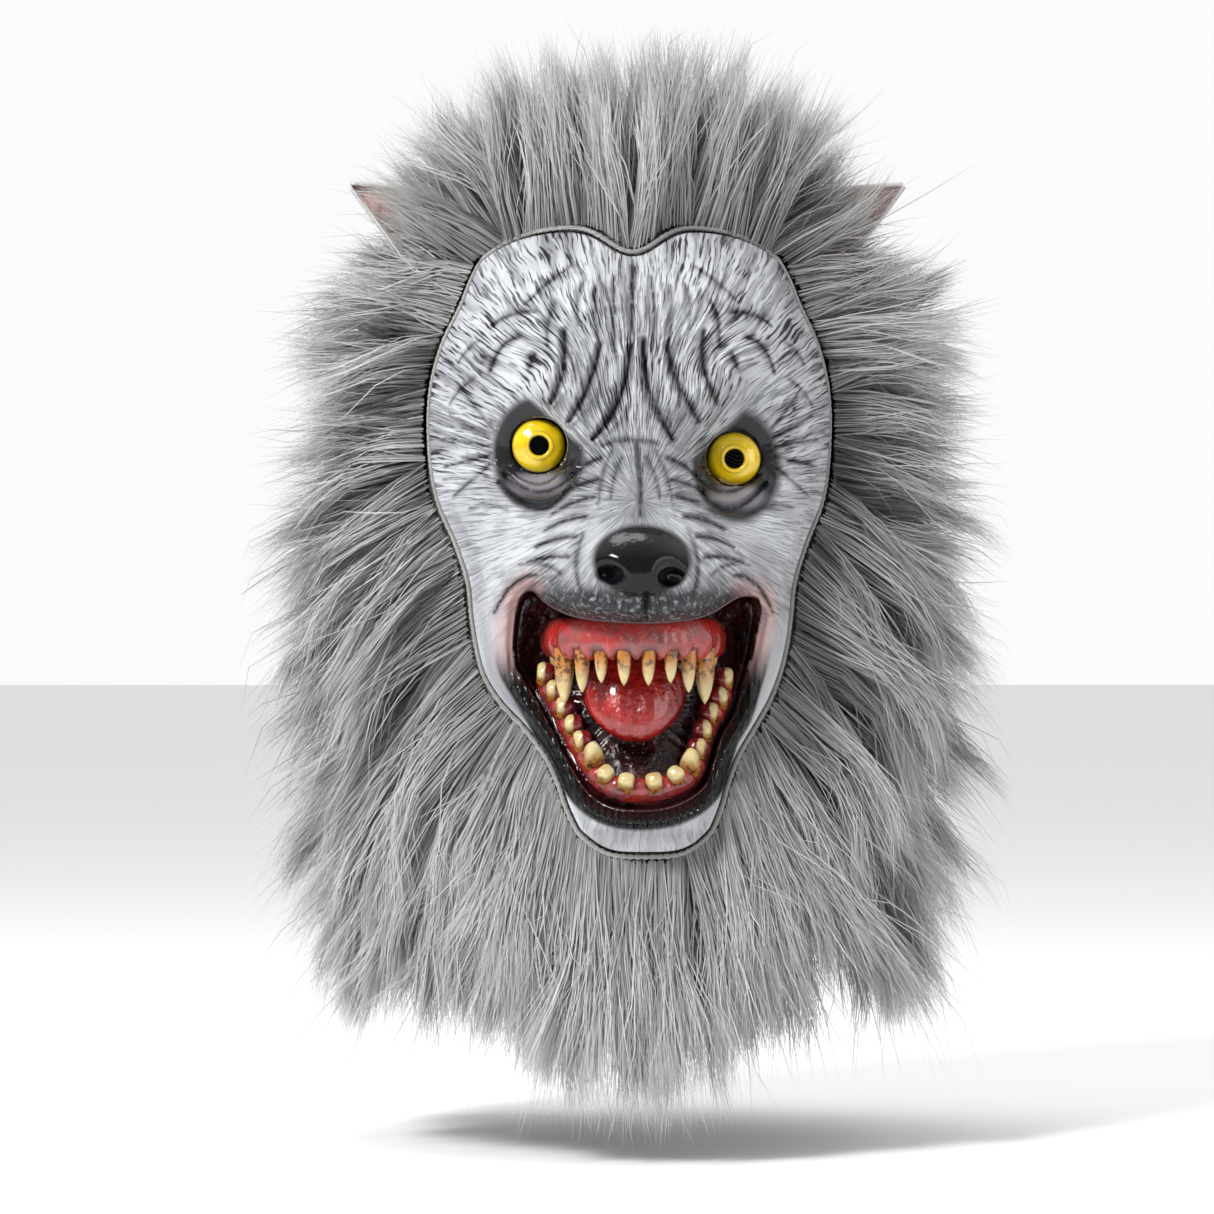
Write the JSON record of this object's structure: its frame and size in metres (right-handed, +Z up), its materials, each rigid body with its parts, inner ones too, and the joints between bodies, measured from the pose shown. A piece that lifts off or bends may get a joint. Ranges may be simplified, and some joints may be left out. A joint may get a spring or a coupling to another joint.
{
  "type": "werewolf mask",
  "caption": "Over-the-head werewolf mask: latex face with open fanged mouth on a fabric hood with long shaggy grey fur.",
  "frame": {"origin": "inside the hood's crown, where it sits on top of the head", "axes": "+Z up along the head, -Y the way the face looks, +X to the viewer's right"},
  "size_m": [0.3376, 0.3283, 0.4829],
  "materials": {
    "hood_fabric": "matte knit",
    "latex": "painted latex, white with black rubbed into the folds",
    "knit_edging": "light knitted edging",
    "fur": "long shiny acrylic pile",
    "ear_latex": "pinkish painted latex",
    "eye": "gloss yellow paint",
    "mouth_lining": "gloss dark red paint",
    "gum": "gloss red paint",
    "tongue": "gloss bright red paint",
    "tooth": "gloss cream paint, amber at the roots"
  },
  "bodies": {
    "root": {"hood": "hood_fabric", "face_shell": "latex", "stitched_edge": "knit_edging", "crown_fur": "fur", "left_mane": "fur", "right_mane": "fur", "back_mane": "fur", "chin_fur": "fur", "left_ear": "ear_latex", "right_ear": "ear_latex", "left_eye": "eye", "right_eye": "eye", "mouth_lining": "mouth_lining", "upper_gum": "gum", "lower_gum": "gum", "tongue": "tongue", "upper_tooth_01": "tooth", "upper_tooth_02": "tooth", "upper_tooth_03": "tooth", "upper_tooth_04": "tooth", "upper_tooth_05": "tooth", "upper_tooth_06": "tooth", "upper_tooth_07": "tooth", "upper_tooth_08": "tooth", "upper_tooth_09": "tooth", "upper_tooth_10": "tooth", "lower_tooth_01": "tooth", "lower_tooth_02": "tooth", "lower_tooth_03": "tooth", "lower_tooth_04": "tooth", "lower_tooth_05": "tooth", "lower_tooth_06": "tooth", "lower_tooth_07": "tooth", "lower_tooth_08": "tooth", "lower_tooth_09": "tooth", "lower_tooth_10": "tooth", "lower_tooth_11": "tooth", "lower_tooth_12": "tooth", "lower_tooth_13": "tooth", "lower_tooth_14": "tooth", "lower_tooth_15": "tooth", "lower_tooth_16": "tooth"}
  },
  "joints": []
}
